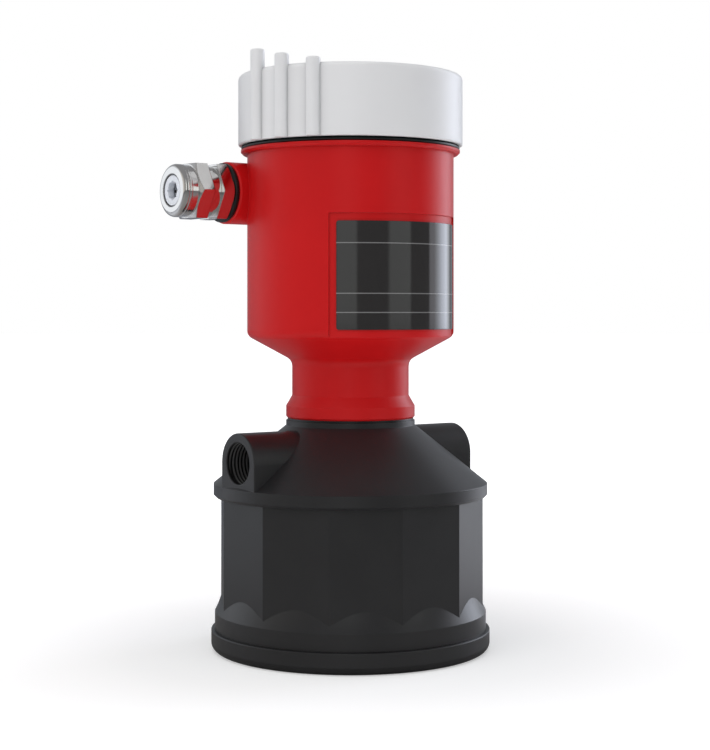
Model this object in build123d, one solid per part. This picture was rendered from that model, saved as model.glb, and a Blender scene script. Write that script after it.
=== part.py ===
from build123d import *
import os
from math import atan, atan2, cos, radians, sin, tan

# Ultrasonic level sensor. Millimetres. The radiating face lies at z = 0 and the sensor stands on it,
# its axis along +Z, with the label facing -Y and the cable gland facing -X.

# Face cap, the disc that radiates
face_radius = 64.7
face_height = 9.9
face_edge_round = 3.8
face_top_round = 0.5
face_wall = 3.2
collar_wall = 4.0
collar_height = 10.0

# Sensor head, moulded in one piece
band_radius = 63.0
band_height = 8.0
flare_height = 10.6
flare_hollow = 0.4
flare_run_in = 0.4
facet_count = 12
facet_apothem = 59.6
facet_height = 52.9
rim_radius = 63.6
rim_height = 6.2
rim_chamfer = 1.2
shoulder_height = 26.8
head_top_radius = 30.0
head_top_height = 2.3
head_wall = 5.6
cavity_height = 48.0
cavity_roof_height = 24.0
cavity_roof_radius = 22.0
lead_bore_radius = 9.0
spigot_radius = 21.9
spigot_height = 20.5

# Two side bosses of the head, each with a blind hole for a G 1/2 thread
boss_setback = 1.3
boss_width = 27.0
boss_hole_rise = 11.8
boss_edge_round = 0.6
side_hole_radius = 10.48
side_hole_depth = 20.0

# Transducer inside the head
matching_height = 9.0
piezo_radius = 25.0
piezo_height = 12.0
backing_height = 8.0
backing_hole_radius = 6.0
electrode_wire_radius = 0.8
electrode_wire_offset = 1.4
probe_radius = 1.7
probe_height = 18.0
probe_wire_radius = 0.6
probe_wire_bend = 5.0
probe_wire_rise = 4.0
lead_radius = 2.6
lead_start_rise = 12.0
lead_offset = 5.0

# Housing, cast in one piece
head_ring_height = 1.0
head_ring_inset = 0.7
collar_band_height = 5.75
collar_chamfer = 0.8
collar_taper_height = 4.85
neck_radius = 27.2
neck_height = 16.1
funnel_height = 11.35
neck_round = 4.5
body_round = 4.0
body_radius = 48.05
body_height = 84.1
body_wall = 5.05
flange_step = 2.95
flange_height = 1.95
flange_chamfer = 1.0
mouth_wall = 3.0
mouth_height = 14.8
funnel_wall = 4.7
web_height = 7.5
floor_radius = 26.0

# Label and its recess in the housing
recess_depth = 0.9
recess_angle = 96.0
recess_rise = 54.65
label_thickness = 0.6
label_angle = 88.0
label_foot = 3.2
label_height = 48.0
label_corner = 1.2

# Lid, which screws on
lid_ring_height = 2.1
lid_ring_inset = 0.2
lid_ring_round = 1.0
lid_overhang = 1.2
lid_height = 32.4
lid_edge_round = 2.3
lid_foot_round = 0.7
lid_roof = 3.4
lid_thread_depth = 1.9
gasket_height = 2.3
gasket_setback = 0.5
gasket_bite = 0.4
grip_rib_radius = 3.2
grip_rib_first_angle = 180.7
grip_rib_spacing = 17.3
grip_rib_rises = (8.2, 4.7, 2.1)
grip_rib_round = 1.0

# Cable gland, on a boss of the housing that faces -X and lies towards the rear side of the body
cable_boss_radius = 14.4
cable_boss_drop = 3.35
cable_boss_inset = 1.65
cable_boss_reach = 1.15
cable_boss_chamfer = 0.6
gland_thread_radius = 10.0
gland_thread_length = 9.0
gland_ring_inset = 0.6
gland_ring_height = 2.2
gland_ring_round = 0.8
gland_flats = 25.0
hex_face_radius = 12.35
hex_chamfer_angle = 30.0
body_hex_height = 6.5
gland_neck_radius = 11.7
gland_neck_height = 4.6
stem_radius = 9.0
stem_height = 8.0
gland_bore_radius = 6.5
seal_seat_radius = 7.9
seal_height = 4.5
seal_bore_radius = 4.0
nut_lift = 0.3
nut_hex_height = 7.1
nut_barrel_radius = 11.8
nut_barrel_height = 7.6
nut_lip_radius = 12.1
nut_dome_radius = 2.3
nut_groove_place = 2.5
nut_groove_width = 0.7
nut_groove_depth = 0.45
nut_bead_height = 1.0
nut_bead_round = 0.25
nut_mouth_radius = 7.6
nut_lip_height = 2.6
nut_thread_depth = 1.0
claw_radius = 6.85
claw_bore_radius = 4.1
claw_shoulder_radius = 8.4
claw_shoulder_height = 1.5
claw_finger_wall = 1.5
claw_count = 8
claw_slot_width = 1.3
claw_tooth_width = 1.0
claw_tooth_depth = 0.35
claw_sink = 0.5
claw_ring_height = 3.0
claw_cone_height = 1.5

# Circuit boards and what holds them
board_play = 2.0
board_thickness = 1.6
main_board_rise = 21.5
post_setback = 8.0
post_radius = 4.5
post_count = 4
stud_radius = 1.9
stud_length = 8.0
standoff_flats = 8.0
standoff_height = 20.0
standoff_hole_depth = 10.0
cover_height = 11.8
cover_wall = 1.6
cover_inset = 0.4
sleeve_radius = 4.2
screw_head_radius = 4.0
screw_head_height = 2.6
screw_head_round = 1.0
screw_grip = 7.0
slot_width = 1.0
slot_depth = 1.2

# Parts on the terminal board
terminal_count = 6
terminal_pitch = 5.08
terminal_end_wall = 0.85
terminal_width = 12.0
terminal_height = 14.0
terminal_chamfer = 3.0
terminal_setback = 17.0
terminal_well_radius = 2.0
terminal_well_depth = 4.0
terminal_well_offset = 1.5
terminal_screw_height = 3.0
wire_entry_width = 3.4
wire_entry_height = 3.6
wire_entry_depth = 6.0
wire_entry_rise = 2.4
button_setback = 25.0
button_spread = 14.0
button_radius = 3.0
button_round = 0.6
button_flange_radius = 4.2
button_flange_height = 1.5
button_rise = 2.0
button_travel = 0.8
switch_size = 6.0
switch_height = 3.6
switch_nub_radius = 1.7
switch_nub_height = 0.8
led_radius = 1.5
led_round = 1.3
led_body_height = 5.0
led_rise = 0.6
led_leg = 0.5
led_leg_spacing = 2.0

# Parts on the main board
transformer_setback = 25.0
transformer_y = 2.0
core_width = 26.0
core_depth = 10.0
core_height = 19.0
core_leg = 8.0
core_yoke = 3.5
coil_build = 4.4
coil_flange = 1.2
coil_waist = 0.6
coil_corner = 2.6
capacitor_setback = 11.0
capacitor_spacing = 12.5
capacitor_count = 3
capacitor_radius = 5.0
capacitor_height = 16.0
capacitor_round = 0.8
capacitor_crimp = 0.5
capacitor_crimp_rise = 2.7
chip_x = 7.0
chip_y = -4.0
chip_size = 10.0
chip_height = 1.4
chip_chamfer = 0.6
chip_leg_count = 8
chip_leg_width = 0.5
chip_leg_height = 0.45
chip_leg_pitch = 1.0
chip_leg_reach = 1.4
inductor_setback = 16.0
inductor_radius = 6.0
inductor_height = 8.0
inductor_waist = 4.2
inductor_flange = 1.6
link_setback = 11.0
link_count = 8
link_pitch = 2.54
link_pin = 0.64
link_width = 2.5
link_base_height = 2.5
link_socket_height = 11.0
link_pin_reach = 5.5
connector_width = 14.0
connector_depth = 6.0
connector_height = 6.0
plug_height = 8.0
plug_inset = 0.5

# Earth terminal on a lug of the housing
ground_inset = 5.2
ground_lug_width = 14.0
ground_lug_reach = 10.0
ground_lug_height = 6.0
ground_lug_rise = 2.0
ground_screw_radius = 2.45
ground_screw_length = 4.0
ground_head_radius = 4.4
ground_head_height = 2.8
ground_head_round = 1.1
ground_washer_radius = 4.8
ground_washer_height = 1.0

# Clearances, and how near an edge lies to the place that it is picked by
slip = 0.05
seat_gap = 0.1
hole_play = 0.15
turn_play = 0.4
edge_match = 0.01

# Radii that follow from others
collar_radius = head_top_radius
head_ring_radius = head_top_radius - head_ring_inset
boss_face = rim_radius - boss_setback
flange_radius = body_radius + flange_step
body_cavity_radius = body_radius - body_wall
mouth_radius = body_cavity_radius + mouth_wall
lid_ring_radius = flange_radius - lid_ring_inset
lid_radius = flange_radius + lid_overhang
lid_bore_radius = mouth_radius + lid_thread_depth
gasket_radius = lid_bore_radius + gasket_bite
cable_boss_face = body_radius + cable_boss_reach
gland_y = body_radius - cable_boss_inset - cable_boss_radius
gland_ring_radius = cable_boss_radius - gland_ring_inset
board_radius = body_cavity_radius - board_play
cover_radius = board_radius - cover_inset
ground_place = body_cavity_radius - ground_inset

# Places on the boards, measured in from their edge
post_place_radius = board_radius - post_setback
terminal_place = terminal_setback - board_radius
button_place = board_radius - button_setback
transformer_x = transformer_setback - board_radius
capacitor_place = board_radius - capacitor_setback
inductor_y = inductor_setback - board_radius
link_place = board_radius - link_setback

# Heights of the stack, worked out from the face upwards
band_base = face_height
flare_base = band_base + band_height
flare_top = flare_base + flare_height
rim_base = flare_base + facet_height
rim_top = rim_base + rim_height
head_top_base = rim_top + shoulder_height
head_top = head_top_base + head_top_height
housing_base = head_top + head_ring_height
collar_top = housing_base + collar_band_height
neck_base = collar_top + collar_taper_height
neck_top = neck_base + neck_height
body_base = neck_top + funnel_height
flange_base = body_base + body_height
flange_top = flange_base + flange_height
mouth_top = flange_top + mouth_height
lid_base = flange_top + lid_ring_height
lid_top = lid_base + lid_height
boss_hole_z = rim_top + boss_hole_rise
gland_z = flange_base - cable_boss_drop - cable_boss_radius

# Levels inside the head
cavity_radius = facet_apothem - head_wall
cavity_top = band_base + cavity_height
roof_top = cavity_top + cavity_roof_height
spigot_top = head_top + spigot_height
cap_collar_radius = cavity_radius - slip
cap_collar_inner = cap_collar_radius - collar_wall
cap_collar_top = band_base + collar_height
stack_radius = cap_collar_inner - slip
matching_top = face_wall + matching_height
piezo_top = matching_top + piezo_height
backing_top = piezo_top + backing_height
lead_base = backing_top + lead_start_rise
probe_place = (stack_radius + cavity_radius) / 2
probe_top = cap_collar_top + probe_height
probe_wire_z = probe_top + probe_wire_bend + probe_wire_rise

# Levels inside the housing
funnel_slope = funnel_height / (body_radius - neck_radius)
funnel_drop = funnel_wall / cos(atan(funnel_slope))
floor_z = neck_top + (floor_radius - neck_radius) * funnel_slope + funnel_drop
web_base = floor_z - web_height
cavity_cone_top = floor_z + (body_cavity_radius - floor_radius) * funnel_slope
main_board_z = floor_z + main_board_rise
main_board_top = main_board_z + board_thickness
terminal_board_z = main_board_top + standoff_height
terminal_board_top = terminal_board_z + board_thickness
cover_top = terminal_board_top + cover_height
cover_underside = cover_top - cover_wall
connector_base = main_board_z - connector_height
plug_base = connector_base - plug_height
terminal_top = terminal_board_top + terminal_height
terminal_length = terminal_count * terminal_pitch + 2 * terminal_end_wall
ground_lug_base = cover_top + ground_lug_rise
ground_lug_top = ground_lug_base + ground_lug_height
ground_seat = ground_lug_top + ground_washer_height
gasket_seat = mouth_top + gasket_height

# The gland is drawn along its own +Z, from the face of the housing's cable boss outwards
gland_place = (-cable_boss_face, gland_y, gland_z)
gland_frame = Plane(origin=gland_place, x_dir=(0, 1, 0), z_dir=(-1, 0, 0)).location
body_hex_top = gland_ring_height + body_hex_height
stem_base = body_hex_top + gland_neck_height
stem_top = stem_base + stem_height
nut_base = stem_base + nut_lift
nut_hex_top = nut_base + nut_hex_height
nut_top = nut_hex_top + nut_barrel_height
nut_lip_base = nut_top - nut_lip_height
seal_base = nut_base
seal_top = seal_base + seal_height
claw_base = seal_top + seat_gap
claw_top = nut_top - claw_sink
claw_shoulder_top = nut_lip_base - seat_gap
claw_slot_top = claw_shoulder_top - claw_shoulder_height


def spread(count, pitch):
    """Places of a centred row."""
    return [(i - (count - 1) / 2) * pitch for i in range(count)]


def post_points():
    """Places of the board posts, between the X and Y axes."""
    angles = [radians(360 / post_count * (i + 0.5)) for i in range(post_count)]
    return [(post_place_radius * cos(a), post_place_radius * sin(a)) for a in angles]


def turned(points, angle=360.0):
    """Solid of revolution about Z from (radius, height) points."""
    outline = Polyline([(r, 0, z) for r, z in points], close=True)
    return revolve(make_face(outline), Axis.Z, angle)


def tube(outer, inner, low, high):
    """Ring between two radii and two heights."""
    return turned([(inner, low), (outer, low), (outer, high), (inner, high)])


def rod(radius, low, high, at=(0, 0)):
    """Upright cylinder between two heights."""
    bar = Cylinder(radius, high - low, align=(Align.CENTER, Align.CENTER, Align.MIN))
    return Pos(at[0], at[1], low) * bar


def block(width, depth, low, high, at=(0, 0)):
    """Upright box between two heights."""
    bar = Box(width, depth, high - low, align=(Align.CENTER, Align.CENTER, Align.MIN))
    return Pos(at[0], at[1], low) * bar


def ring_edges(shape, radius, height):
    """Circular edges at one radius and height."""
    circles = shape.edges().filter_by(GeomType.CIRCLE)
    level = [e for e in circles if abs(e.arc_center.Z - height) < edge_match]
    return [e for e in level if abs(e.radius - radius) < edge_match]


def hex_bar(flats, low, high, chamfer_low=False, chamfer_high=False):
    """Hexagonal bar, a corner on the X axis, with its corners turned off at the chosen ends."""
    bar = Pos(0, 0, low) * extrude(RegularPolygon(flats / 2, 6, major_radius=False), high - low)
    reach = flats
    rise = (reach - hex_face_radius) * tan(radians(hex_chamfer_angle))
    if chamfer_low:
        bar &= turned([
            (0, low), (hex_face_radius, low), (reach, low + rise), (reach, high + rise), (0, high + rise),
        ])
    if chamfer_high:
        bar &= turned([
            (0, high), (hex_face_radius, high), (reach, high - rise), (reach, low - rise), (0, low - rise),
        ])
    return bar


def slotted_screw(head_radius, head_height, head_round, shank_radius, shank_length, seat):
    """Round-headed screw with its seat at one height and a straight slot."""
    head_top_z = seat + head_height
    screw = rod(head_radius, seat, head_top_z)
    screw = fillet(ring_edges(screw, head_radius, head_top_z), head_round)
    screw += rod(shank_radius, seat - shank_length, seat)
    return screw - block(2 * head_radius, slot_width, head_top_z - slot_depth, head_top_z)


def make_face_cap():
    """Radiating disc with a rounded lower edge and a collar that plugs into the head."""
    cap = turned([
        (0, 0), (face_radius, 0), (face_radius, face_height), (cap_collar_radius, face_height),
        (cap_collar_radius, cap_collar_top), (cap_collar_inner, cap_collar_top),
        (cap_collar_inner, face_wall), (0, face_wall),
    ])
    cap = fillet(ring_edges(cap, face_radius, 0), face_edge_round)
    return fillet(ring_edges(cap, face_radius, face_height), face_top_round)


def make_head_prism():
    """Twelve flats with four of them facing +X, -X, +Y and -Y."""
    flats = RegularPolygon(facet_apothem, facet_count, major_radius=False, rotation=180 / facet_count)
    return Pos(0, 0, band_base) * extrude(flats, rim_base + rim_chamfer - band_base)


def make_head_skirt():
    """Band and hollow flare, which leaves a scallop at the foot of each flat."""
    flare_end = facet_apothem - flare_run_in
    middle = ((band_radius + flare_end) / 2 - flare_hollow, 0, (flare_base + flare_top) / 2)
    flare = ThreePointArc((band_radius, 0, flare_base), middle, (flare_end, 0, flare_top))
    sides = Polyline((flare_end, 0, flare_top), (0, 0, flare_top), (0, 0, band_base),
                     (band_radius, 0, band_base), (band_radius, 0, flare_base))
    return revolve(make_face([flare, sides]), Axis.Z)


def make_head_shoulder():
    """Rim, coned shoulder and the spigot that goes up into the housing."""
    return turned([
        (0, rim_base), (rim_radius - rim_chamfer, rim_base), (rim_radius, rim_base + rim_chamfer),
        (rim_radius, rim_top), (head_top_radius, head_top_base), (head_top_radius, head_top),
        (spigot_radius, head_top), (spigot_radius, spigot_top), (0, spigot_top),
    ])


def make_side_boss(side):
    """Arched boss on one side, from inside the shoulder out to its flat face."""
    foot = boss_hole_z - rim_top
    face_plane = Plane(origin=(side * boss_face, 0, boss_hole_z), x_dir=(0, 1, 0), z_dir=(side, 0, 0))
    arch = Circle(boss_width / 2) + Pos(0, -side * foot / 2) * Rectangle(boss_width, foot)
    boss = extrude(face_plane * arch, -boss_face)
    front = [e for e in boss.edges() if abs(e.center().X - side * boss_face) < edge_match
             and e.center().Z > rim_top + edge_match]
    return fillet(front, boss_edge_round)


def make_sensor_head():
    """One moulding: skirt, flats, shoulder and side bosses, with the transducer's pot inside."""
    head = make_head_prism() + make_head_skirt() + make_head_shoulder()
    for side in (-1, 1):
        head += make_side_boss(side)
    head -= turned([
        (0, band_base), (cavity_radius, band_base), (cavity_radius, cavity_top),
        (cavity_roof_radius, roof_top), (lead_bore_radius, roof_top), (lead_bore_radius, spigot_top),
        (0, spigot_top),
    ])
    for side in (-1, 1):
        mouth = Plane(origin=(side * boss_face, 0, boss_hole_z), z_dir=(-side, 0, 0))
        head -= extrude(mouth * Circle(side_hole_radius), side_hole_depth)
    return head


def make_matching_layer():
    """Disc between the radiating wall and the piezo disc."""
    return rod(stack_radius, face_wall, matching_top)


def make_piezo_disc():
    """Ceramic disc that drives the matching layer."""
    return rod(piezo_radius, matching_top, piezo_top)


def make_isolation_ring():
    """Soft ring that keeps the piezo disc off the collar."""
    return tube(stack_radius, piezo_radius + slip, matching_top, piezo_top)


def make_backing_pad():
    """Damping pad on the piezo disc, open in the middle for the wires."""
    return tube(stack_radius, backing_hole_radius, piezo_top, backing_top)


def make_electrode_wires():
    """Two wires from the piezo disc up to the end of the lead."""
    wires = [
        rod(electrode_wire_radius, piezo_top, lead_base, at=(side * electrode_wire_offset, 0))
        for side in (-1, 1)
    ]
    return Compound(wires)


def make_temperature_probe(grow=0.0):
    """Capsule on the cap's collar with a wire that bends over to the lead."""
    capsule = rod(probe_radius + grow, cap_collar_top, probe_top, at=(0, probe_place))
    start = (0, probe_place, probe_top)
    end = (0, lead_radius + slip, probe_wire_z)
    route = FilletPolyline(start, (0, probe_place, probe_wire_z), end, radius=probe_wire_bend)
    section = Plane(origin=start, z_dir=(0, 0, 1)) * Circle(probe_wire_radius + grow)
    return capsule + sweep(section, path=route)


def make_potting():
    """Resin that fills the pot round and above the transducer."""
    fill = turned([
        (0, backing_top), (stack_radius + slip, backing_top), (stack_radius + slip, cap_collar_top),
        (cap_collar_radius, cap_collar_top), (cap_collar_radius, cavity_top), (0, cavity_top),
    ])
    fill -= make_temperature_probe(slip)
    fill -= rod(lead_radius + slip, lead_base, cavity_top)
    for side in (-1, 1):
        place = (side * electrode_wire_offset, 0)
        fill -= rod(electrode_wire_radius + slip, backing_top, lead_base, at=place)
    return fill


def make_transducer_lead():
    """Round cable from the resin through the neck to the plug under the main board."""
    bend_low = head_top
    bend_high = spigot_top + 2 * lead_radius
    points = [(0, 0, lead_base), (0, 0, bend_low), (lead_offset, 0, bend_high), (lead_offset, 0, plug_base)]
    slant = ((bend_high - bend_low) ** 2 + lead_offset ** 2) ** 0.5
    half_turn = atan2(lead_offset, bend_high - bend_low) / 2
    runs = (bend_low - lead_base, plug_base - bend_high)
    radii = [0.45 * min(slant, run) / tan(half_turn) for run in runs]
    print("transducer lead radii", [round(r, 1) for r in radii])
    route = FilletPolyline(*points, radius=radii)
    return sweep(Pos(0, 0, lead_base) * Circle(lead_radius), path=route)


def make_head_ring():
    """Seal between the head and the housing."""
    return tube(head_ring_radius, spigot_radius + slip, head_top, housing_base)


def make_housing_skin():
    """Outside of the housing, turned, with the cable boss along its rear left side."""
    skin = turned([
        (0, housing_base), (collar_radius - collar_chamfer, housing_base),
        (collar_radius, housing_base + collar_chamfer), (collar_radius, collar_top),
        (neck_radius, neck_base), (neck_radius, neck_top), (body_radius, body_base),
        (body_radius, flange_base), (flange_radius - flange_chamfer, flange_base),
        (flange_radius, flange_base + flange_chamfer), (flange_radius, flange_top),
        (mouth_radius, flange_top), (mouth_radius, mouth_top), (0, mouth_top),
    ])
    skin = fillet(ring_edges(skin, neck_radius, neck_top), neck_round)
    skin = fillet(ring_edges(skin, body_radius, body_base), body_round)
    boss = turned([
        (0, 0), (cable_boss_radius - cable_boss_chamfer, 0), (cable_boss_radius, -cable_boss_chamfer),
        (cable_boss_radius, -cable_boss_face), (0, -cable_boss_face),
    ])
    return skin + gland_frame * boss


def make_housing_hollow():
    """Inside of the housing, less the board posts and the earth lug that stand in it."""
    hollow = turned([
        (0, web_base), (lead_bore_radius, web_base), (lead_bore_radius, floor_z), (floor_radius, floor_z),
        (body_cavity_radius, cavity_cone_top), (body_cavity_radius, mouth_top), (0, mouth_top),
    ])
    for point in post_points():
        hollow -= rod(post_radius, floor_z, main_board_z, at=point)
    lug_middle = body_cavity_radius - ground_lug_reach / 2
    return hollow - block(ground_lug_reach, ground_lug_width, ground_lug_base, ground_lug_top,
                          at=(lug_middle, 0))


def make_label_recess():
    """Shallow curved pocket that runs out at the foot of the body."""
    recess_radius = body_radius - recess_depth
    recess_top = body_base + recess_rise
    pocket = turned([
        (recess_radius, neck_top), (flange_radius, neck_top),
        (flange_radius, recess_top), (recess_radius, recess_top),
    ], recess_angle)
    return Rot(0, 0, -90 - recess_angle / 2) * pocket


def make_housing():
    """One casting with its bores, label recess, board posts and earth lug."""
    housing = make_housing_skin() - make_housing_hollow()
    housing -= rod(spigot_radius + slip, housing_base, web_base)
    housing -= make_label_recess()
    housing -= gland_frame * rod(gland_thread_radius, -cable_boss_face, 0)
    for point in post_points():
        housing -= rod(stud_radius + slip, main_board_z - stud_length - hole_play, main_board_z, at=point)
    screw_foot = ground_lug_top - ground_screw_length - hole_play
    return housing - rod(ground_screw_radius + slip, screw_foot, ground_lug_top, at=(ground_place, 0))


def make_label_plate():
    """Curved plate in the recess, with rounded corners."""
    inner = body_radius - recess_depth + slip
    low = body_base + label_foot
    plate = turned([
        (inner, low), (inner + label_thickness, low), (inner + label_thickness, low + label_height),
        (inner, low + label_height),
    ], label_angle)
    corners = [e for e in plate.edges() if e.length < label_thickness + edge_match]
    return Rot(0, 0, -90 - label_angle / 2) * fillet(corners, label_corner)


def make_lid_ring():
    """O-ring round the mouth, pressed to the height of its gap."""
    ring = tube(lid_ring_radius, mouth_radius + slip, flange_top, lid_base)
    edges = ring_edges(ring, lid_ring_radius, flange_top) + ring_edges(ring, lid_ring_radius, lid_base)
    return fillet(edges, lid_ring_round)


def make_grip_rib(index):
    """Round rib down the lid's side that stands above its top."""
    top = lid_top + grip_rib_rises[index]
    rib = rod(grip_rib_radius, lid_base, top)
    rib = fillet(ring_edges(rib, grip_rib_radius, top), grip_rib_round)
    return Rot(0, 0, grip_rib_first_angle + index * grip_rib_spacing) * Pos(lid_radius, 0, 0) * rib


def make_lid():
    """Lid with its thread bore, the groove that holds the gasket, its roof and three grip ribs."""
    groove = gasket_radius + turn_play
    lid = rod(lid_radius, lid_base, lid_top)
    lid = fillet(ring_edges(lid, lid_radius, lid_top), lid_edge_round)
    lid = fillet(ring_edges(lid, lid_radius, lid_base), lid_foot_round)
    for index in range(len(grip_rib_rises)):
        lid += make_grip_rib(index)
    return lid - turned([
        (0, lid_base), (lid_bore_radius, lid_base), (lid_bore_radius, mouth_top - turn_play),
        (groove, mouth_top - turn_play), (groove, gasket_seat), (body_cavity_radius, gasket_seat),
        (body_cavity_radius, lid_top - lid_roof), (0, lid_top - lid_roof),
    ])


def make_lid_gasket():
    """Flat ring held in the lid's groove that seals on the housing's mouth."""
    inner = body_cavity_radius + gasket_setback
    return tube(gasket_radius, inner, mouth_top, gasket_seat - seat_gap)


def make_gland_ring():
    """Seal between the gland and the housing's boss."""
    ring = tube(gland_ring_radius, gland_thread_radius + slip, 0, gland_ring_height)
    edges = ring_edges(ring, gland_ring_radius, 0) + ring_edges(ring, gland_ring_radius, gland_ring_height)
    return fillet(edges, gland_ring_round)


def make_gland_body():
    """Threaded end in the housing, hexagon, round neck and the stem that the nut runs on."""
    spigot = gland_thread_radius - slip
    body = hex_bar(gland_flats, gland_ring_height, body_hex_top, chamfer_low=True)
    body += rod(spigot, -gland_thread_length, body_hex_top)
    body += rod(gland_neck_radius, body_hex_top, stem_base)
    body += rod(stem_radius, stem_base, stem_top)
    body -= rod(gland_bore_radius, -gland_thread_length, seal_base)
    return body - rod(seal_seat_radius, seal_base, stem_top)


def make_gland_seal():
    """Rubber ring that closes on the cable."""
    return tube(seal_seat_radius - slip, seal_bore_radius, seal_base, seal_top)


def make_gland_claw():
    """Clamping cage: a toothed ring at the nut's mouth and fingers that reach back to the seal."""
    finger_inner = claw_radius - claw_finger_wall
    ring_base = claw_top - claw_ring_height
    cage = turned([
        (finger_inner, claw_base), (claw_radius, claw_base), (claw_radius, claw_slot_top),
        (claw_shoulder_radius, claw_slot_top), (claw_shoulder_radius, claw_shoulder_top),
        (claw_radius, claw_shoulder_top), (claw_radius, claw_top), (claw_bore_radius, claw_top),
        (claw_bore_radius, ring_base), (finger_inner, ring_base - claw_cone_height),
    ])
    tooth_reach = claw_bore_radius + claw_tooth_depth
    for i in range(claw_count):
        finger_slot = block(claw_shoulder_radius, claw_slot_width, claw_base, claw_slot_top,
                            at=(claw_shoulder_radius / 2, 0))
        tooth_slot = block(tooth_reach, claw_tooth_width, claw_slot_top, claw_top, at=(tooth_reach / 2, 0))
        cage -= Rot(0, 0, 360 / claw_count * i) * (finger_slot + tooth_slot)
    return cage


def make_gland_nut():
    """Domed nut: hexagon, barrel, a turned bead and groove, and a rounded lip round the mouth."""
    groove_top = nut_top - nut_groove_place
    groove_low = groove_top - nut_groove_width
    bead_low = groove_low - nut_bead_height
    barrel = turned([
        (0, nut_hex_top), (nut_barrel_radius, nut_hex_top), (nut_barrel_radius, bead_low),
        (nut_lip_radius, bead_low), (nut_lip_radius, groove_low),
        (nut_lip_radius - nut_groove_depth, (groove_low + groove_top) / 2),
        (nut_lip_radius, groove_top), (nut_lip_radius, nut_top), (0, nut_top),
    ])
    barrel = fillet(ring_edges(barrel, nut_lip_radius, nut_top), nut_dome_radius)
    barrel = fillet(ring_edges(barrel, nut_lip_radius, bead_low), nut_bead_round)
    nut = hex_bar(gland_flats, nut_base, nut_hex_top, chamfer_high=True) + barrel
    nut -= rod(stem_radius + nut_thread_depth, nut_base, nut_lip_base)
    return nut - rod(nut_mouth_radius, nut_lip_base, nut_top)


def make_board(low):
    """Round circuit board with its four screw holes."""
    board = rod(board_radius, low, low + board_thickness)
    for point in post_points():
        board -= rod(stud_radius + hole_play, low, low + board_thickness, at=point)
    return board


def make_standoffs():
    """Hexagonal standoffs with a stud below and a threaded hole above."""
    piece = hex_bar(standoff_flats, main_board_top, terminal_board_z)
    piece += rod(stud_radius, main_board_z - stud_length, main_board_top)
    piece -= rod(stud_radius + slip, terminal_board_z - standoff_hole_depth, terminal_board_z)
    return Compound([Pos(x, y, 0) * piece for x, y in post_points()])


def make_board_screws():
    """Screws through the cover and the terminal board into the standoffs."""
    length = cover_height + board_thickness + screw_grip
    screw = slotted_screw(screw_head_radius, screw_head_height, screw_head_round, stud_radius,
                          length, cover_top)
    return Compound([Pos(x, y, 0) * screw for x, y in post_points()])


def make_board_cover():
    """Moulded shield over the terminal board, with sleeves for its screws and openings for what it shows."""
    cover = rod(cover_radius, terminal_board_top, cover_top)
    cover -= rod(cover_radius - cover_wall, terminal_board_top, cover_underside)
    for point in post_points():
        cover += rod(sleeve_radius, terminal_board_top, cover_underside, at=point)
        cover -= rod(stud_radius + hole_play, terminal_board_top, cover_top, at=point)
    window_width = terminal_width + 2 * turn_play
    window_length = terminal_length + 2 * turn_play
    cover -= block(window_width, window_length, cover_underside, cover_top, at=(terminal_place, 0))
    for side in (-1, 1):
        place = (button_place, side * button_spread)
        cover -= rod(button_radius + turn_play, cover_underside, cover_top, at=place)
    return cover - rod(led_radius + hole_play, cover_underside, cover_top, at=(button_place, 0))


def make_terminal_block():
    """Block with a row of wire entries towards the gland and screw wells on top."""
    body = block(terminal_width, terminal_length, terminal_board_top, terminal_top, at=(terminal_place, 0))
    front = terminal_place - terminal_width / 2
    edge = [e for e in body.edges().filter_by(Axis.Y)
            if e.center().Z > terminal_top - edge_match and e.center().X < terminal_place]
    body = chamfer(edge, terminal_chamfer)
    entry_base = terminal_board_top + wire_entry_rise
    for y in spread(terminal_count, terminal_pitch):
        body -= rod(terminal_well_radius, terminal_top - terminal_well_depth, terminal_top,
                    at=(terminal_place + terminal_well_offset, y))
        body -= block(2 * wire_entry_depth, wire_entry_width, entry_base, entry_base + wire_entry_height,
                      at=(front, y))
    return body


def make_terminal_screws():
    """Clamping screws in the wells of the terminal block."""
    low = terminal_top - terminal_well_depth
    high = low + terminal_screw_height
    screw = rod(terminal_well_radius - slip, low, high)
    screw -= block(2 * terminal_well_radius, slot_width, high - slot_depth, high)
    x = terminal_place + terminal_well_offset
    return Compound([Pos(x, y, 0) * screw for y in spread(terminal_count, terminal_pitch)])


def make_button_switches():
    """Two tactile switches under the buttons."""
    nub_base = terminal_board_top + switch_height
    switch = block(switch_size, switch_size, terminal_board_top, nub_base)
    switch += rod(switch_nub_radius, nub_base, nub_base + switch_nub_height)
    return Compound([Pos(button_place, side * button_spread, 0) * switch for side in (-1, 1)])


def make_button(side):
    """Plunger held under the cover by its flange, with the switch below."""
    foot = terminal_board_top + switch_height + switch_nub_height + button_travel + seat_gap
    top = cover_top + button_rise
    flange_high = cover_underside - seat_gap
    button = rod(button_radius, foot, top)
    button = fillet(ring_edges(button, button_radius, top), button_round)
    button += rod(button_flange_radius, flange_high - button_flange_height, flange_high)
    return Pos(button_place, side * button_spread, 0) * button


def make_status_led():
    """Domed lamp in the cover on two legs."""
    dome_top = cover_top + led_rise
    lamp_base = dome_top - led_body_height
    lamp = rod(led_radius, lamp_base, dome_top)
    lamp = fillet(ring_edges(lamp, led_radius, dome_top), led_round)
    for y in spread(2, led_leg_spacing):
        lamp += block(led_leg, led_leg, terminal_board_top, lamp_base, at=(0, y))
    return Pos(button_place, 0, 0) * lamp


def make_transformer_core():
    """Two-window ferrite core that stands on the main board."""
    core_top = main_board_top + core_height
    core = block(core_width, core_depth, main_board_top, core_top)
    window = (core_width - core_leg) / 2 - core_yoke
    for side in (-1, 1):
        place = (side * (core_leg + window) / 2, 0)
        core -= block(window, core_depth, main_board_top + core_yoke, core_top - core_yoke, at=place)
    return Pos(transformer_x, transformer_y, 0) * core


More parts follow.
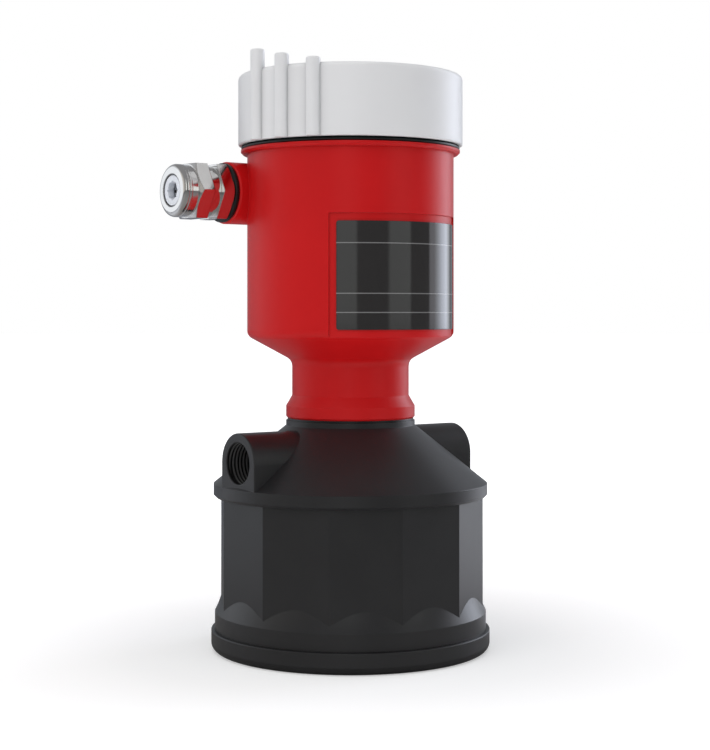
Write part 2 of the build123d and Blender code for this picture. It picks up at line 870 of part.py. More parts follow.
def make_transformer_coil():
    """Winding between its bobbin's flanges, round the core's middle leg."""
    low = main_board_top + core_yoke + slip
    high = main_board_top + core_height - core_yoke - slip
    width = core_leg + 2 * coil_build
    depth = core_depth + 2 * coil_build
    coil = block(width, depth, low, high)
    coil = fillet(coil.edges().filter_by(Axis.Z), coil_corner)
    winding = block(width - 2 * coil_waist, depth - 2 * coil_waist, low + coil_flange, high - coil_flange)
    winding = fillet(winding.edges().filter_by(Axis.Z), coil_corner - coil_waist)
    coil -= block(width, depth, low + coil_flange, high - coil_flange) - winding
    coil -= block(core_leg + 2 * hole_play, core_depth + 2 * hole_play, low, high)
    return Pos(transformer_x, transformer_y, 0) * coil


def make_capacitors():
    """Row of upright electrolytic capacitors with a crimp near the foot."""
    top = main_board_top + capacitor_height
    crimp = main_board_top + capacitor_crimp_rise
    can = turned([
        (0, main_board_top), (capacitor_radius, main_board_top), (capacitor_radius, crimp - capacitor_crimp),
        (capacitor_radius - capacitor_crimp, crimp), (capacitor_radius, crimp + capacitor_crimp),
        (capacitor_radius, top), (0, top),
    ])
    can = fillet(ring_edges(can, capacitor_radius, top), capacitor_round)
    return Compound([Pos(capacitor_place, y, 0) * can for y in spread(capacitor_count, capacitor_spacing)])


def make_processor_chip():
    """Flat square chip with legs on its four sides."""
    top = main_board_top + chip_height
    body = block(chip_size, chip_size, main_board_top, top)
    body = chamfer([e for e in body.edges() if e.center().Z > top - edge_match], chip_chamfer)
    reach = (chip_size + chip_leg_reach) / 2
    for turn in range(4):
        for along in spread(chip_leg_count, chip_leg_pitch):
            leg = block(chip_leg_reach, chip_leg_width, main_board_top, main_board_top + chip_leg_height,
                        at=(reach, along))
            body += Rot(0, 0, 90 * turn) * leg
    return Pos(chip_x, chip_y, 0) * body


def make_power_inductor():
    """Drum core with a wound waist."""
    low = main_board_top
    high = low + inductor_height
    drum = turned([
        (0, low), (inductor_radius, low), (inductor_radius, low + inductor_flange),
        (inductor_waist, low + inductor_flange), (inductor_waist, high - inductor_flange),
        (inductor_radius, high - inductor_flange), (inductor_radius, high), (0, high),
    ])
    return Pos(0, inductor_y, 0) * drum


def make_link_header():
    """Row of pins on the main board."""
    base_top = main_board_top + link_base_height
    header = block(link_count * link_pitch, link_width, main_board_top, base_top)
    pin_top = terminal_board_z - link_socket_height + link_pin_reach
    for x in spread(link_count, link_pitch):
        header += block(link_pin, link_pin, base_top, pin_top, at=(x, 0))
    return Pos(0, link_place, 0) * header


def make_link_socket():
    """Socket strip under the terminal board that takes the pins."""
    base = terminal_board_z - link_socket_height
    socket = block(link_count * link_pitch, link_width, base, terminal_board_z)
    hole = link_pin + 2 * hole_play
    for x in spread(link_count, link_pitch):
        socket -= block(hole, hole, base, base + link_pin_reach + hole_play, at=(x, 0))
    return Pos(0, link_place, 0) * socket


def make_lead_connector():
    """Header under the main board for the transducer's lead."""
    return block(connector_width, connector_depth, connector_base, main_board_z, at=(lead_offset, 0))


def make_lead_plug():
    """Plug on the end of the lead, pushed up to the header."""
    width = connector_width - 2 * plug_inset
    depth = connector_depth - 2 * plug_inset
    plug = block(width, depth, plug_base, connector_base, at=(lead_offset, 0))
    return chamfer([e for e in plug.edges() if e.center().Z < plug_base + edge_match], plug_inset)


def make_ground_washer():
    """Washer under the earth screw."""
    ring = tube(ground_washer_radius, ground_screw_radius + hole_play, ground_lug_top, ground_seat)
    return Pos(ground_place, 0, 0) * ring


def make_ground_screw():
    """Earth screw on its lug."""
    length = ground_screw_length + ground_washer_height
    screw = slotted_screw(ground_head_radius, ground_head_height, ground_head_round, ground_screw_radius,
                          length, ground_seat)
    return Pos(ground_place, 0, 0) * screw


nodes = {
    "face_cap": make_face_cap(),
    "sensor_head": make_sensor_head(),
    "matching_layer": make_matching_layer(),
    "piezo_disc": make_piezo_disc(),
    "isolation_ring": make_isolation_ring(),
    "backing_pad": make_backing_pad(),
    "electrode_wires": make_electrode_wires(),
    "temperature_probe": make_temperature_probe(),
    "potting": make_potting(),
    "transducer_lead": make_transducer_lead(),
    "head_ring": make_head_ring(),
    "housing": make_housing(),
    "label_plate": make_label_plate(),
    "lid_ring": make_lid_ring(),
    "lid": make_lid(),
    "lid_gasket": make_lid_gasket(),
    "gland_ring": gland_frame * make_gland_ring(),
    "gland_body": gland_frame * make_gland_body(),
    "gland_seal": gland_frame * make_gland_seal(),
    "gland_claw": gland_frame * make_gland_claw(),
    "gland_nut": gland_frame * make_gland_nut(),
    "main_board": make_board(main_board_z),
    "terminal_board": make_board(terminal_board_z),
    "standoffs": make_standoffs(),
    "board_cover": make_board_cover(),
    "board_screws": make_board_screws(),
    "terminal_block": make_terminal_block(),
    "terminal_screws": make_terminal_screws(),
    "button_switches": make_button_switches(),
    "zero_button": make_button(-1),
    "span_button": make_button(1),
    "status_led": make_status_led(),
    "transformer_core": make_transformer_core(),
    "transformer_coil": make_transformer_coil(),
    "capacitors": make_capacitors(),
    "processor_chip": make_processor_chip(),
    "power_inductor": make_power_inductor(),
    "link_header": make_link_header(),
    "link_socket": make_link_socket(),
    "lead_connector": make_lead_connector(),
    "lead_plug": make_lead_plug(),
    "ground_washer": make_ground_washer(),
    "ground_screw": make_ground_screw(),
}

os.makedirs("parts", exist_ok=True)
for name, shape in nodes.items():
    export_step(shape, f"parts/{name}.step")
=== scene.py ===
import bmesh
import bpy
from math import atan2, ceil, cos, hypot, pi, radians, sin
from mathutils import Matrix, Vector


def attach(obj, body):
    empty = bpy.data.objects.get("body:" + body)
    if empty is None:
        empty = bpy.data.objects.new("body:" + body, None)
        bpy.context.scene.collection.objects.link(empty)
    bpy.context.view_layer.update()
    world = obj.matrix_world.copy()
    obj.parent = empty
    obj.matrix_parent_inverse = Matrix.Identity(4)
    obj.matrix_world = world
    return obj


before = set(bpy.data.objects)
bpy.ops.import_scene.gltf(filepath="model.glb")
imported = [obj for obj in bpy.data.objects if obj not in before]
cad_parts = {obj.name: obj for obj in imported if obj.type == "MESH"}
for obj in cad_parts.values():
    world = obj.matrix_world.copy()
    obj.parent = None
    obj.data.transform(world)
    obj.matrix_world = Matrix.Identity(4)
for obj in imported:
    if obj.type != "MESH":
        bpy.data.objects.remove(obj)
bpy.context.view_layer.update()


# Sensor head and face cap: one black moulding with twelve flats over a scalloped skirt, and the disc
# that radiates, bonded under it. Both are glass-filled nylon with an even, fine spark-eroded grain.
def feed(tree, node, inputs):
    """Links each input of a node to a socket, or sets it to a plain value."""
    for name, source in inputs.items():
        if isinstance(source, bpy.types.NodeSocket):
            tree.links.new(source, node.inputs[name])
        else:
            node.inputs[name].default_value = source


def add_node(tree, kind, inputs):
    """Adds a shader node and feeds its inputs."""
    node = tree.nodes.new("ShaderNode" + kind)
    feed(tree, node, inputs)
    return node


def object_place(tree):
    """Place on the piece in the object's own axes."""
    return tree.nodes.new("ShaderNodeTexCoord").outputs["Object"]


def map_range(tree, value, old, new=(0.0, 1.0)):
    """Value carried from the old range to the new one and held at its ends."""
    return add_node(tree, "MapRange", {
        "Value": value, "From Min": old[0], "From Max": old[1], "To Min": new[0], "To Max": new[1],
    }).outputs["Result"]


def vector_number(tree, operation, *vectors):
    """Number that an operation on vectors gives."""
    node = add_node(tree, "VectorMath", dict(enumerate(vectors)))
    node.operation = operation
    return node.outputs["Value"]


def mix_colours(tree, share, under, over):
    """Colour that goes from under to over as the share rises from 0 to 1."""
    mix = tree.nodes.new("ShaderNodeMix")
    mix.data_type = "RGBA"
    feed(tree, mix, {0: share, 6: under, 7: over})
    return mix.outputs[2]


cloud_detail = 4.0
grain_detail = 2.0
tint_stops = (0.35, 0.65)
edge_samples = 6
edge_turn = (0.99, 0.80)
rub_gain = 1.6
rub_lift = 0.01


def grained_finish(name, colour, roughness, metallic=0.0, cloud=0.02, depth=0.06, grain=0.0003,
                   relief=0.000004, gloss_play=0.04, edge=0.0004, edge_colour=None, edge_share=0.35):
    """Material with cloudy colour, uneven gloss, a fine grain, and rounded edges painted brighter: rubbed
    wear on some pieces, a painted highlight on others.
    """
    material = bpy.data.materials.new(name)
    material.use_nodes = True
    tree = material.node_tree
    place = object_place(tree)
    clouds = add_node(tree, "TexNoise", {"Vector": place, "Scale": 1 / cloud, "Detail": cloud_detail})
    tint = add_node(tree, "ValToRGB", {"Fac": clouds.outputs["Fac"]})
    for stop, where, share in zip(tint.color_ramp.elements, tint_stops, (1 - depth, 1 + depth)):
        stop.position = where
        stop.color = [min(1.0, part * share) for part in colour] + [1.0]
    gloss_range = (roughness - gloss_play, roughness + gloss_play)
    gloss = map_range(tree, clouds.outputs["Fac"], (0.0, 1.0), gloss_range)

    grains = add_node(tree, "TexNoise", {"Vector": place, "Scale": 1 / grain, "Detail": grain_detail})
    rounded = add_node(tree, "Bevel", {"Radius": edge})
    rounded.samples = edge_samples
    bump = add_node(tree, "Bump", {
        "Distance": relief, "Height": grains.outputs["Fac"], "Normal": rounded.outputs["Normal"],
    })

    surface = tree.nodes.new("ShaderNodeNewGeometry")
    facing = vector_number(tree, "DOT_PRODUCT", rounded.outputs["Normal"], surface.outputs["Normal"])
    # Rounded edges are painted brighter: edge wear on some finishes, a painted highlight where the edge
    # colour is near white.
    edge_wear_and_highlight = map_range(tree, facing, edge_turn, (0.0, edge_share))
    edge_wear_and_highlight_colour = list(edge_colour or [part * rub_gain + rub_lift for part in colour]) + [1.0]
    feed(tree, tree.nodes["Principled BSDF"], {
        "Base Color": mix_colours(tree, edge_wear_and_highlight, tint.outputs["Color"], edge_wear_and_highlight_colour),
        "Metallic": metallic, "Roughness": gloss, "Normal": bump.outputs["Normal"],
    })
    return material


def dress(material, *names):
    """Gives the named CAD nodes one material."""
    for name in names:
        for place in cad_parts[name].material_slots:
            place.material = material


nylon_grain = 0.00035
nylon_rub = 0.12
head_plastic = grained_finish("head_nylon", (0.0155, 0.0155, 0.0165), 0.36, grain=nylon_grain,
                              relief=0.000008, edge=0.0003, edge_share=nylon_rub)
cap_plastic = grained_finish("face_nylon", (0.0150, 0.0150, 0.0160), 0.38, grain=nylon_grain,
                             relief=0.000008, edge=0.0003, edge_share=nylon_rub)
dress(head_plastic, "sensor_head")
dress(cap_plastic, "face_cap")


# Threads of the two side holes, moulded into the head: G 1/2, a 1.814 mm pitch and 1.16 mm deep. Each has
# a land at the boss's face and runs out before the hole's blind end. The crests are painted lighter than
# the head's plastic as a painted highlight, and the roots painted dark as painted shade.
crease_angle = radians(25)
ring_steps = 96
steps_a_turn = 72
fade_turns = 0.3


def as_piece(name, shape):
    """Turns a finished bmesh into an object at the origin, smooth up to the crease angle."""
    bmesh.ops.recalc_face_normals(shape, faces=shape.faces)
    mesh = bpy.data.meshes.new(name)
    shape.to_mesh(mesh)
    shape.free()
    mesh.shade_smooth()
    mesh.set_sharp_from_angle(angle=crease_angle)
    piece = bpy.data.objects.new(name, mesh)
    bpy.context.scene.collection.objects.link(piece)
    return piece


def profile_loop(corners):
    """New bmesh with a closed loop of (radius, height) corners beside Z."""
    shape = bmesh.new()
    loop = [shape.verts.new((radius, 0, z)) for radius, z in corners]
    for i, corner in enumerate(loop):
        shape.edges.new((loop[i - 1], corner))
    return shape


def turned_ring(name, corners):
    """Closed ring round Z from (radius, height) corners."""
    ring = profile_loop(corners)
    bmesh.ops.spin(ring, geom=ring.verts[:] + ring.edges[:], cent=(0, 0, 0), axis=(0, 0, 1),
                   angle=2 * pi, steps=ring_steps, use_merge=True)
    return as_piece(name, ring)


def thread_ridge(name, wall, crest, pitch, turns, foot_width, crest_width):
    """Helical ridge round Z, from z = 0 up, that stands on a wall and fades out at both ends."""
    ridge = profile_loop([(wall, -foot_width / 2), (crest, -crest_width / 2),
                          (crest, crest_width / 2), (wall, foot_width / 2)])
    steps = ceil(turns * steps_a_turn)
    bmesh.ops.spin(ridge, geom=ridge.verts[:] + ridge.edges[:], cent=(0, 0, 0), axis=(0, 0, 1),
                   dvec=(0, 0, pitch / steps_a_turn), angle=2 * pi * steps / steps_a_turn, steps=steps)
    bmesh.ops.holes_fill(ridge, edges=[e for e in ridge.edges if e.is_boundary])
    for corner in ridge.verts:
        share = atan2(corner.co.y, corner.co.x) / (2 * pi)
        turn = round(corner.co.z / pitch - share) + share
        height = min(1.0, turn / fade_turns, (steps / steps_a_turn - turn) / fade_turns)
        radius = hypot(corner.co.x, corner.co.y)
        scale = (wall + (radius - wall) * max(0.0, height)) / radius
        corner.co.x *= scale
        corner.co.y *= scale
    return as_piece(name, ridge)


def shader_source(material, name):
    """Socket that feeds an input of a material's shader."""
    return material.node_tree.nodes["Principled BSDF"].inputs[name].links[0].from_socket


def feed_shader(material, inputs):
    """Feeds inputs of a material's shader anew."""
    feed(material.node_tree, material.node_tree.nodes["Principled BSDF"], inputs)


def paint_over(material, share, colour):
    """Lays a colour over a material's own by a share from 0 to 1."""
    under = shader_source(material, "Base Color")
    feed_shader(material, {"Base Color": mix_colours(material.node_tree, share, under, colour)})


sunk = 0.00003
boss_face_x = 0.0623
boss_hole_z = 0.0888
thread_wall = 0.01048 + sunk
thread_crest = 0.00932
thread_pitch = 0.001814
thread_turns = 8.5
thread_foot_width = 0.0013
thread_crest_width = 0.0005
thread_start = 0.0015
land_start = 0.00002
land_chamfer = 0.0003
land_depth = 0.0007
land_end = 0.0014
lit_crest_depth = 0.0001
root_depth = 0.0006
root_shade_colour = (0.004, 0.004, 0.004, 1.0)

# Lighter than the head's plastic: a painted highlight on the thread's crests.
thread_plastic = grained_finish("thread_nylon", (0.08, 0.08, 0.08), 0.34, grain=nylon_grain, edge=0.0001,
                                edge_share=nylon_rub)
thread_tree = thread_plastic.node_tree
hole_axis = add_node(thread_tree, "Mapping", {
    "Vector": object_place(thread_tree), "Location": (0, 0, -boss_hole_z), "Scale": (0, 1, 1),
})
thread_radius = vector_number(thread_tree, "LENGTH", hole_axis.outputs["Vector"])
# Painted shade in the thread's roots, dark below the crests.
root_shade_share = map_range(thread_tree, thread_radius, (thread_crest + lit_crest_depth, thread_crest + root_depth))
paint_over(thread_plastic, root_shade_share, root_shade_colour)

for side, end in ((-1, "left"), (1, "right")):
    land = turned_ring("side_land_" + end, [
        (thread_wall, land_start), (thread_crest + land_chamfer, land_start), (thread_crest, land_chamfer),
        (thread_crest, land_depth), (thread_wall, land_end),
    ])
    ridge = thread_ridge("side_thread_" + end, thread_wall, thread_crest, thread_pitch, thread_turns,
                         thread_foot_width, thread_crest_width)
    ridge.data.transform(Matrix.Translation((0, 0, thread_start)))
    inwards = Matrix.Rotation(-side * pi / 2, 4, "Y")
    mouth = Matrix.Translation((side * boss_face_x, 0, boss_hole_z))
    for piece, finish in ((land, head_plastic), (ridge, thread_plastic)):
        piece.data.transform(mouth @ inwards)
        piece.data.materials.append(finish)
        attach(piece, "root")


# Housing: one aluminium casting under a satin red powder coat, with collar, neck, funnel, body and the
# flange that the lid's O-ring sits on. The coat has a faint orange peel and thins on sharp edges.
housing_coat = grained_finish("red_powder_coat", (0.58, 0.0085, 0.010), 0.34, cloud=0.03, depth=0.03,
                              grain=0.0012, relief=0.000010, edge_colour=(0.66, 0.03, 0.03), edge_share=0.25)
coat_gloss = 0.19
feed_shader(housing_coat, {"Specular IOR Level": coat_gloss})
dress(housing_coat, "housing")


# Mouth thread of the housing and the lid's own thread: coarse 4 mm pitch ridges that run into each other,
# half a pitch apart, so that the lid climbs them as it turns.
lid_pitch = 0.004
lid_thread_turns = 2.25
lid_thread_z = 0.2352
lid_thread_foot = 0.0022
lid_thread_top = 0.001
mouth_wall = 0.046 - sunk
mouth_crest = 0.0475
mouth_thread = thread_ridge("mouth_thread", mouth_wall, mouth_crest, lid_pitch, lid_thread_turns,
                            lid_thread_foot, lid_thread_top)
mouth_thread.data.transform(Matrix.Translation((0, 0, lid_thread_z)))
mouth_thread.data.materials.append(housing_coat)
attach(mouth_thread, "root")


# Label plate: a bare, glossy dark film on a curved aluminium plate, laid in the housing's recess. Three
# printed hairlines run across it; it carries no words or signs.
label_film = grained_finish("label_film", (0.026, 0.025, 0.025), 0.07, cloud=0.05, depth=0.05, grain=0.002,
                            gloss_play=0.015, edge=0.0002, edge_share=0.2)
hairline_heights = (0.1866, 0.1644, 0.1560)
hairline_half_width = 0.00022
hairline_colour = (0.20, 0.20, 0.20, 1.0)
label_tree = label_film.node_tree
label_z = add_node(label_tree, "SeparateXYZ", {"Vector": object_place(label_tree)}).outputs["Z"]
for height in hairline_heights:
    stripe = add_node(label_tree, "Math", {0: label_z, 1: height, 2: hairline_half_width})
    stripe.operation = "COMPARE"
    paint_over(label_film, stripe.outputs["Value"], hairline_colour)
dress(label_film, "label_plate")


# Seals: nitrile rubber rings between head and housing, under the lid, in the lid's groove, under the
# gland and round the cable. The rubber is black with a dull bloom, and the lid's ring loses its gloss
# above, a painted shade where the lid's overhang shades it.
def nitrile(name):
    """Rubber of the seals."""
    return grained_finish(name, (0.006, 0.008, 0.008), 0.30, cloud=0.01, depth=0.12, grain=0.0004,
                          relief=0.000006, edge=0.0002)


seal_rubber = nitrile("nitrile_rubber")
dress(seal_rubber, "head_ring", "lid_gasket", "gland_ring", "gland_seal")

ring_rubber = nitrile("lid_ring_rubber")
ring_shade_heights = (0.2320, 0.2325)
ring_gloss_and_shade = (0.6, 0.0)
ring_tree = ring_rubber.node_tree
ring_z = add_node(ring_tree, "SeparateXYZ", {"Vector": object_place(ring_tree)}).outputs["Z"]
# Painted shade: the ring's specular falls to nothing above, where the lid's overhang shades it.
feed_shader(ring_rubber, {"Specular IOR Level": map_range(ring_tree, ring_z, ring_shade_heights, ring_gloss_and_shade)})
dress(ring_rubber, "lid_ring")


# Lid: white moulded plastic with three round grip ribs that stand above its top. It is satin, a little
# glossier than the head, with a painted highlight on its edges and painted shade in the creases beside
# the ribs. Its own thread runs inside its skirt.
# The near-white edge colour paints a highlight along the lid's rounded edges.
lid_plastic = grained_finish("lid_plastic", (0.83, 0.83, 0.84), 0.38, cloud=0.05, depth=0.012, grain=0.0005,
                             relief=0.000006, edge=0.0007, edge_colour=(0.95, 0.95, 0.96), edge_share=0.8)
crease_shade_reach = 0.0045
crease_shade_samples = 8
crease_shade_openness = (0.95, 0.55)
crease_shade_colour = (0.54, 0.54, 0.55, 1.0)
lid_tree = lid_plastic.node_tree
# Painted shade: ambient occlusion greys the creases beside the ribs.
crease_shade = add_node(lid_tree, "AmbientOcclusion", {"Distance": crease_shade_reach})
crease_shade.samples = crease_shade_samples
crease_shade.only_local = True
paint_over(lid_plastic, map_range(lid_tree, crease_shade.outputs["AO"], crease_shade_openness), crease_shade_colour)

lid_wall = 0.0479 + sunk
lid_crest = 0.0464
lid_thread = thread_ridge("lid_thread", lid_wall, lid_crest, lid_pitch, lid_thread_turns,
                          lid_thread_foot, lid_thread_top)
lid_thread.data.transform(Matrix.Translation((0, 0, lid_thread_z)) @ Matrix.Rotation(pi, 4, "Z"))
lid_thread.data.materials.append(lid_plastic)
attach(lid_thread, "lid_body")
dress(lid_plastic, "lid")


# Cable gland: turned and milled from brass, then nickel plated and polished, so that it mirrors the red
# boss. Fine turning marks run round its axis, and its stem and nut have threads of a 1.5 mm pitch.
# The lighter edge colour paints a faint highlight along the gland's edges.
nickel = grained_finish("nickel_plate", (0.80, 0.79, 0.77), 0.10, metallic=1.0, cloud=0.01, depth=0.02,
                        grain=0.003, relief=0.000001, gloss_play=0.02, edge=0.0005,
                        edge_colour=(0.85, 0.85, 0.85), edge_share=0.3)
gland_y = 0.032
gland_z = 0.2115
mark_scale = 900.0
mark_distortion = 3.0
mark_detail_scale = 0.4
mark_relief = 0.0000006
nickel_tree = nickel.node_tree
gland_centre = add_node(nickel_tree, "Mapping", {
    "Vector": object_place(nickel_tree), "Location": (0, -gland_y, -gland_z),
})
turning_marks = add_node(nickel_tree, "TexWave", {
    "Vector": gland_centre.outputs["Vector"], "Scale": mark_scale, "Distortion": mark_distortion,
    "Detail Scale": mark_detail_scale,
})
turning_marks.wave_type = "BANDS"
turning_marks.bands_direction = "X"
marks_bump = add_node(nickel_tree, "Bump", {
    "Distance": mark_relief, "Height": turning_marks.outputs["Fac"],
    "Normal": shader_source(nickel, "Normal"),
})
feed_shader(nickel, {"Normal": marks_bump.outputs["Normal"]})
dress(nickel, "gland_body", "gland_nut")

gland_pitch = 0.0015
gland_foot_width = 0.0009
gland_crest_width = 0.0003
cable_boss_face_x = -0.0492
stem_base = 0.0133
for name, wall, crest, start, turns, body in (
    ("stem_thread", 0.0090 - sunk, 0.0099, stem_base + 0.0006, 4.5, "root"),
    ("nut_thread", 0.0100 + sunk, 0.0091, stem_base + 0.0009 + gland_pitch / 2, 5.0, "gland_nut_body"),
):
    gland_thread = thread_ridge(name, wall, crest, gland_pitch, turns, gland_foot_width, gland_crest_width)
    outwards = Matrix.Rotation(-pi / 2, 4, "Y")
    gland_thread.data.transform(Matrix.Translation((cable_boss_face_x - start, gland_y, gland_z)) @ outwards)
    gland_thread.data.materials.append(nickel)
    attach(gland_thread, body)


# Clamping cage, whose toothed ring shows in the nut's mouth: light grey moulded plastic, slightly
# polished by the cable.
claw_plastic = grained_finish("cage_plastic", (0.84, 0.87, 0.93), 0.22, cloud=0.004, depth=0.03,
                              edge=0.00015)
dress(claw_plastic, "gland_claw")


# Transducer in the head: epoxy foam, a fired ceramic disc with silvered faces, cork rubber, a backing
# pad and black potting resin, with its wires, probe and lead.
for finish_name, colour, roughness, metallic, names in (
    ("matching_foam", (0.55, 0.57, 0.50), 0.75, 0.0, ["matching_layer"]),
    ("piezo_ceramic", (0.55, 0.47, 0.33), 0.45, 0.0, ["piezo_disc"]),
    ("isolation_foam", (0.25, 0.20, 0.15), 0.85, 0.0, ["isolation_ring"]),
    ("backing_rubber", (0.08, 0.08, 0.09), 0.70, 0.0, ["backing_pad"]),
    ("potting_resin", (0.02, 0.02, 0.02), 0.12, 0.0, ["potting"]),
    ("wire_sleeve", (0.50, 0.03, 0.03), 0.35, 0.0, ["electrode_wires"]),
    ("probe_steel", (0.60, 0.60, 0.60), 0.28, 1.0, ["temperature_probe"]),
    ("lead_sheath", (0.20, 0.20, 0.21), 0.50, 0.0, ["transducer_lead"]),
):
    dress(grained_finish(finish_name, colour, roughness, metallic, cloud=0.006, depth=0.10), *names)


# Electronics in the body: two green boards on hexagonal standoffs, with their parts, under a grey
# moulded shield that leaves the terminals, the two buttons and the lamp in reach.
for finish_name, colour, roughness, metallic, names in (
    ("board_lacquer", (0.015, 0.14, 0.06), 0.25, 0.0, ["main_board", "terminal_board"]),
    ("zinc_plate", (0.70, 0.70, 0.68), 0.30, 1.0,
     ["standoffs", "board_screws", "terminal_screws", "ground_screw", "ground_washer"]),
    ("shield_plastic", (0.16, 0.17, 0.18), 0.50, 0.0, ["board_cover"]),
    ("terminal_plastic", (0.05, 0.30, 0.14), 0.40, 0.0, ["terminal_block"]),
    ("blue_button", (0.03, 0.13, 0.45), 0.35, 0.0, ["span_button"]),
    ("white_button", (0.75, 0.75, 0.73), 0.35, 0.0, ["zero_button"]),
    ("switch_plastic", (0.03, 0.03, 0.03), 0.40, 0.0, ["button_switches"]),
    ("lamp_lens", (0.30, 0.70, 0.25), 0.10, 0.0, ["status_led"]),
    ("ferrite", (0.06, 0.06, 0.065), 0.65, 0.0, ["transformer_core", "power_inductor"]),
    ("winding_tape", (0.60, 0.40, 0.08), 0.30, 0.0, ["transformer_coil"]),
    ("capacitor_sleeve", (0.10, 0.10, 0.12), 0.35, 0.0, ["capacitors"]),
    ("chip_resin", (0.02, 0.02, 0.02), 0.45, 0.0, ["processor_chip"]),
    ("header_plastic", (0.03, 0.03, 0.03), 0.40, 0.0, ["link_header", "link_socket"]),
    ("connector_nylon", (0.70, 0.69, 0.62), 0.45, 0.0, ["lead_connector", "lead_plug"]),
):
    finish = grained_finish(finish_name, colour, roughness, metallic, cloud=0.004, depth=0.08, edge=0.0002)
    dress(finish, *names)


# Studio: the camera stands level, 780 mm from the sensor's axis, 36.5 degrees from the label towards the
# gland. The picture's horizon and axis are set by the lens shift.
camera_turn = radians(-36.5)
camera_distance = 0.780
camera_height = 0.1554
towards_camera = Vector((sin(camera_turn), -cos(camera_turn), 0))
lens = bpy.data.cameras.new("studio_camera")
lens.sensor_width = 36.0
lens.lens = 80.26
lens.shift_x = 0.0061
lens.shift_y = -0.0816
lens.clip_end = 50.0
camera = bpy.data.objects.new("studio_camera", lens)
camera.location = towards_camera * camera_distance + Vector((0, 0, camera_height))
camera.rotation_euler = (-towards_camera).to_track_quat("-Z", "Y").to_euler()
bpy.context.scene.collection.objects.link(camera)
bpy.context.scene.camera = camera
bpy.context.scene.view_settings.view_transform = "Standard"


# Room: its light runs round the sensor in bright and dim bands, as softboxes and flags stand in a studio,
# and is even overhead. Seen by the camera itself it is plain white.
studio_turn = atan2(towards_camera.y, towards_camera.x)


def light_round_sensor(tree, place, bands):
    """Colour by the angle round the sensor, from (degrees to the right of the front, colour) bands."""
    from_front = add_node(tree, "Mapping", {"Vector": place, "Rotation": (0, 0, -studio_turn)})
    angle = add_node(tree, "TexGradient", {"Vector": from_front.outputs["Vector"]})
    angle.gradient_type = "RADIAL"
    ramp = add_node(tree, "ValToRGB", {"Fac": angle.outputs["Fac"]})
    stops = ramp.color_ramp.elements
    while len(stops) < len(bands):
        stops.new(0.5)
    for stop, (degrees, colour) in zip(stops, bands):
        stop.position = degrees / 360 + 0.5
        stop.color = list(colour) + [1.0]
    return ramp.outputs["Color"]


cool_wall = (1.00, 1.04, 1.10)
rear_wall = (0.36, 0.38, 0.41)
dim_wall = (0.74, 0.71, 0.67)
dim_flag = (0.24, 0.23, 0.22)
front_box = (0.92, 0.95, 0.93)
dark_flag = (0.16, 0.15, 0.15)
side_box = (1.4, 1.4, 1.5)
right_box = (2.2, 2.3, 2.5)
bright_box = (3.6, 3.8, 4.3)
overhead_rise = (0.36, 0.70)
overhead_colour = (0.25, 0.25, 0.26, 1.0)
plain_white = (1.0, 1.0, 1.0, 1.0)

room = bpy.data.worlds.new("studio_room")
bpy.context.scene.world = room
room.use_nodes = True
room_tree = room.node_tree
direction = room_tree.nodes.new("ShaderNodeTexCoord").outputs["Generated"]
walls = light_round_sensor(room_tree, direction, (
    (-180, rear_wall), (-140, rear_wall), (-124, cool_wall), (-96, cool_wall), (-84, dim_wall),
    (-30, dim_flag), (-16, dim_flag), (-14, front_box), (6, front_box), (8, dark_flag), (41, dark_flag),
    (45, front_box), (69, front_box), (71, dark_flag), (97, dark_flag), (99, side_box), (107, side_box),
    (112, right_box), (122, bright_box), (134, bright_box), (139, right_box), (148, rear_wall),
    (180, rear_wall),
))
rise = add_node(room_tree, "SeparateXYZ", {"Vector": direction}).outputs["Z"]
dome = mix_colours(room_tree, map_range(room_tree, rise, overhead_rise), walls, overhead_colour)
room_path = room_tree.nodes.new("ShaderNodeLightPath")
seen_room = mix_colours(room_tree, room_path.outputs["Is Camera Ray"], dome, plain_white)
feed(room_tree, room_tree.nodes["Background"], {"Color": seen_room})


# Floor: a wide white sheet that shows as white paper does and keeps the soft shadow; its glow for the
# camera fades near the sensor, which paints extra shadow round the foot. Mirrored in the sensor it is
# brownish near the foot, banded like the room farther off, and brighter on the right.
floor_radius = 12.0
brown_floor = (0.32, 0.31, 0.30)
rear_floor = (0.36, 0.38, 0.42)
floor_white = (0.95, 0.95, 0.95, 1.0)
sheet_white = (0.74, 0.74, 0.74, 1.0)
near_reach = (0.12, 0.45)
shadow_reach = (0.10, 0.50)
sheet_glow_and_painted_shadow = (0.40, 1.00)

sheet = bmesh.new()
bmesh.ops.create_circle(sheet, cap_ends=True, segments=ring_steps, radius=floor_radius)
floor = as_piece("floor", sheet)
paper = bpy.data.materials.new("white_paper")
paper.use_nodes = True
paper_tree = paper.node_tree
paper_tree.nodes.remove(paper_tree.nodes["Principled BSDF"])
floor_place = object_place(paper_tree)
near_floor = light_round_sensor(paper_tree, floor_place, (
    (-180, brown_floor), (100, brown_floor), (122, (0.90, 0.91, 0.94)), (150, (1.0, 1.01, 1.04)),
    (166, brown_floor), (180, brown_floor),
))
far_floor = light_round_sensor(paper_tree, floor_place, (
    (-180, rear_floor), (-140, rear_floor), (-122, (0.88, 0.90, 0.94)), (-92, (0.84, 0.87, 0.92)),
    (-72, (0.40, 0.40, 0.40)), (-20, (0.28, 0.28, 0.27)), (40, (0.24, 0.24, 0.24)),
    (85, (0.40, 0.40, 0.40)), (105, (0.95, 0.95, 1.00)), (125, (1.9, 1.92, 2.0)),
    (142, (1.8, 1.84, 1.9)), (160, rear_floor), (180, rear_floor),
))
distance = vector_number(paper_tree, "LENGTH", floor_place)
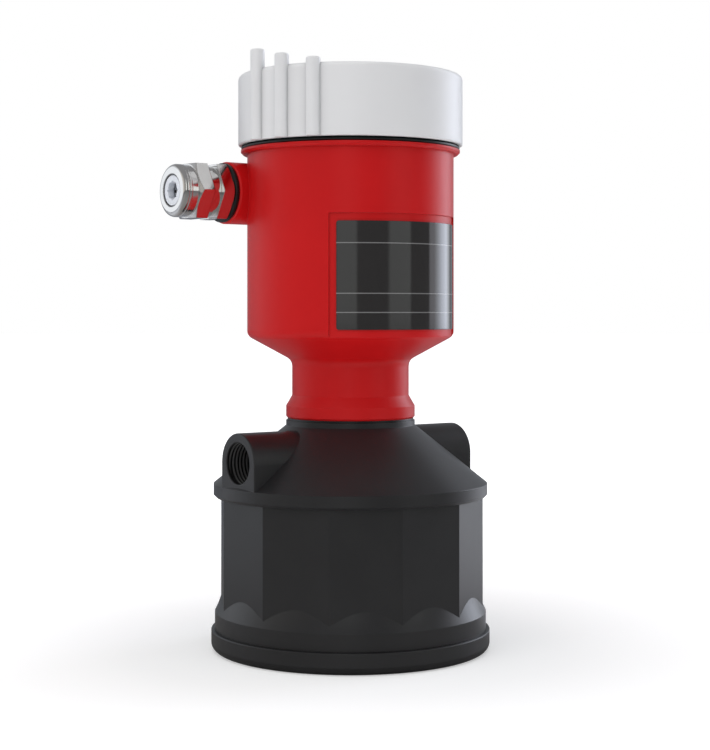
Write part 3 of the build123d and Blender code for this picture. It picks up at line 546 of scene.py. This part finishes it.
mirrored = mix_colours(paper_tree, map_range(paper_tree, distance, near_reach), near_floor, far_floor)
floor_path = paper_tree.nodes.new("ShaderNodeLightPath")
floor_colour = mix_colours(paper_tree, floor_path.outputs["Is Glossy Ray"], floor_white, mirrored)
lit_paper = add_node(paper_tree, "BsdfDiffuse", {"Color": floor_colour})
lit_sheet = add_node(paper_tree, "BsdfDiffuse", {"Color": sheet_white})
# Painted shadow: the camera-only glow falls from 1.0 far off to 0.40 near the sensor.
bright_sheet = add_node(paper_tree, "Emission", {
    "Strength": map_range(paper_tree, distance, shadow_reach, sheet_glow_and_painted_shadow),
})
seen_sheet = add_node(paper_tree, "AddShader", {
    0: lit_sheet.outputs["BSDF"], 1: bright_sheet.outputs["Emission"],
})
paper_mix = add_node(paper_tree, "MixShader", {
    0: floor_path.outputs["Is Camera Ray"], 1: lit_paper.outputs["BSDF"], 2: seen_sheet.outputs["Shader"],
})
feed(paper_tree, paper_tree.nodes["Material Output"], {"Surface": paper_mix.outputs["Shader"]})
floor.data.materials.append(paper)


# Softboxes that fill the front, left, right and top with even light, and a bounce sheet that lifts the
# undersides. All of them stay out of the reflections.
object_middle = Vector((0, 0, 0.15))
for name, turn, rise, far, width, height, power in (
    ("front_softbox", -36.5, 40.0, 1.5, 1.4, 0.8, 2.8),
    ("key_softbox", -74.0, 36.0, 1.3, 0.6, 1.1, 2.4),
    ("fill_softbox", 30.0, 50.0, 1.5, 0.8, 1.0, 0.2),
    ("top_softbox", -60.0, 80.0, 1.3, 1.0, 1.0, 5.0),
    ("bounce_sheet", 0.0, -90.0, 0.147, 0.5, 0.5, 0.40),
):
    lamp = bpy.data.lights.new(name, "AREA")
    lamp.shape = "RECTANGLE"
    lamp.size = width
    lamp.size_y = height
    lamp.energy = power
    turn, rise = radians(turn), radians(rise)
    beam = Vector((sin(turn) * cos(rise), -cos(turn) * cos(rise), sin(rise)))
    softbox = bpy.data.objects.new(name, lamp)
    softbox.location = object_middle + beam * far
    softbox.rotation_euler = beam.to_track_quat("Z", "Y").to_euler()
    softbox.visible_glossy = False
    softbox.visible_camera = False
    bpy.context.scene.collection.objects.link(softbox)
